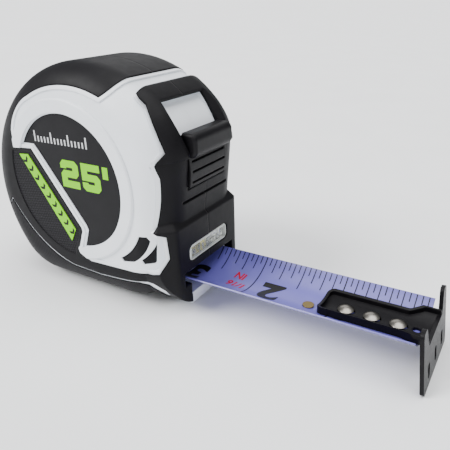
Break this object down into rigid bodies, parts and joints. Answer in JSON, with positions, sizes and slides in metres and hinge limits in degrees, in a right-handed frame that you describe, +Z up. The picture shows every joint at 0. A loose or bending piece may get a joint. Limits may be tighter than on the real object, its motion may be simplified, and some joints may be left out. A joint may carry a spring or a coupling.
{
  "type": "tape measure",
  "caption": "Pocket tape measure with a sprung reel, arched steel blade, sliding end hook, sliding blade lock, lamp in the nose and a belt clip.",
  "frame": {"origin": "on the flat base, straight below the reel's axis, on the middle plane of the case", "axes": "+X out along the blade, -Y towards the labelled side, +Z up"},
  "size_m": [0.1382, 0.0469, 0.0717],
  "materials": {
    "white_plastic": "satin moulded ABS",
    "black_rubber": "satin overmoulded rubber",
    "bumper_rubber": "satin overmoulded rubber, finely striated",
    "label_film": "printed film, satin",
    "grip_rubber": "fine square grid texture",
    "green_paint": "fluorescent",
    "inlay_rubber": "satin",
    "clear_plastic": "clear, faceted",
    "bright_reflector": "vacuum-metallised plastic",
    "led_phosphor": "phosphor dome",
    "circuit_board": "solder mask",
    "black_plastic": "satin moulded plastic",
    "slider_plastic": "satin moulded plastic",
    "cell_steel": "nickel plated",
    "contact_steel": "nickel plated",
    "post_plastic": "natural acetal",
    "reel_plastic": "moulded",
    "coil_steel": "lacquered spring steel",
    "spring_steel": "blued spring steel",
    "blade_paint": "lacquered spring steel with printed scale",
    "rivet_nickel": "nickel plated",
    "hook_steel": "black coated steel",
    "brake_steel": "pressed steel",
    "screw_steel": "zinc plated",
    "clip_steel": "brushed spring steel"
  },
  "bodies": {
    "case": {"shell_left": "white_plastic", "shell_right": "white_plastic", "rubber_left": "black_rubber", "rubber_right": "black_rubber", "bumper_left": "bumper_rubber", "bumper_right": "bumper_rubber", "label_left": "label_film", "label_right": "label_film", "grip_pad_left": "grip_rubber", "grip_pad_right": "grip_rubber", "stripe_left": "green_paint", "slot_inlays": "inlay_rubber", "led_lens": "clear_plastic", "led_reflector": "bright_reflector", "led_chip": "led_phosphor", "led_board": "circuit_board", "light_switch": "black_plastic", "battery_cells": "cell_steel", "battery_contacts": "contact_steel", "battery_door": "black_plastic", "reel_post": "post_plastic", "case_screws": "screw_steel", "belt_clip": "clip_steel", "clip_screw": "screw_steel"},
    "reel": {"reel_drum": "reel_plastic", "drum_cover": "reel_plastic", "blade_coil": "coil_steel", "mainspring": "spring_steel"},
    "blade_strip": {"blade": "blade_paint", "rivets": "rivet_nickel", "blade_eyelet": "rivet_nickel"},
    "end_hook": {"hook": "hook_steel"},
    "lock": {"lock_slider": "slider_plastic", "thumb_pad": "slider_plastic"},
    "brake": {"brake_bar": "brake_steel", "brake_shoe": "black_rubber"}
  },
  "joints": [
    {"name": "reel_spin", "type": "hinge", "parent": "case", "child": "reel", "pos_m": [0, 0, 0.0354], "axis": [0, -1, 0], "range_deg": [-117.6, 0]},
    {"name": "blade_slide", "type": "slide", "parent": "case", "child": "blade_strip", "axis": [1, 0, 0], "range_m": [-0.0503, 0]},
    {"name": "hook_play", "type": "slide", "parent": "blade_strip", "child": "end_hook", "axis": [1, 0, 0], "range_m": [-0.0011, 0]},
    {"name": "lock_slide", "type": "hinge", "parent": "case", "child": "lock", "pos_m": [0.013, 0, 0.041], "axis": [0, -1, 0], "range_deg": [0, 16]},
    {"name": "brake_lift", "type": "slide", "parent": "case", "child": "brake", "axis": [0, 0, 1], "range_m": [0, 0.0008]}
  ],
  "couplings": [
    {"joint": "blade_slide", "follows": "reel_spin", "m_per_rad": 0.0245},
    {"joint": "brake_lift", "follows": "lock_slide", "m_per_rad": 0.00286}
  ]
}
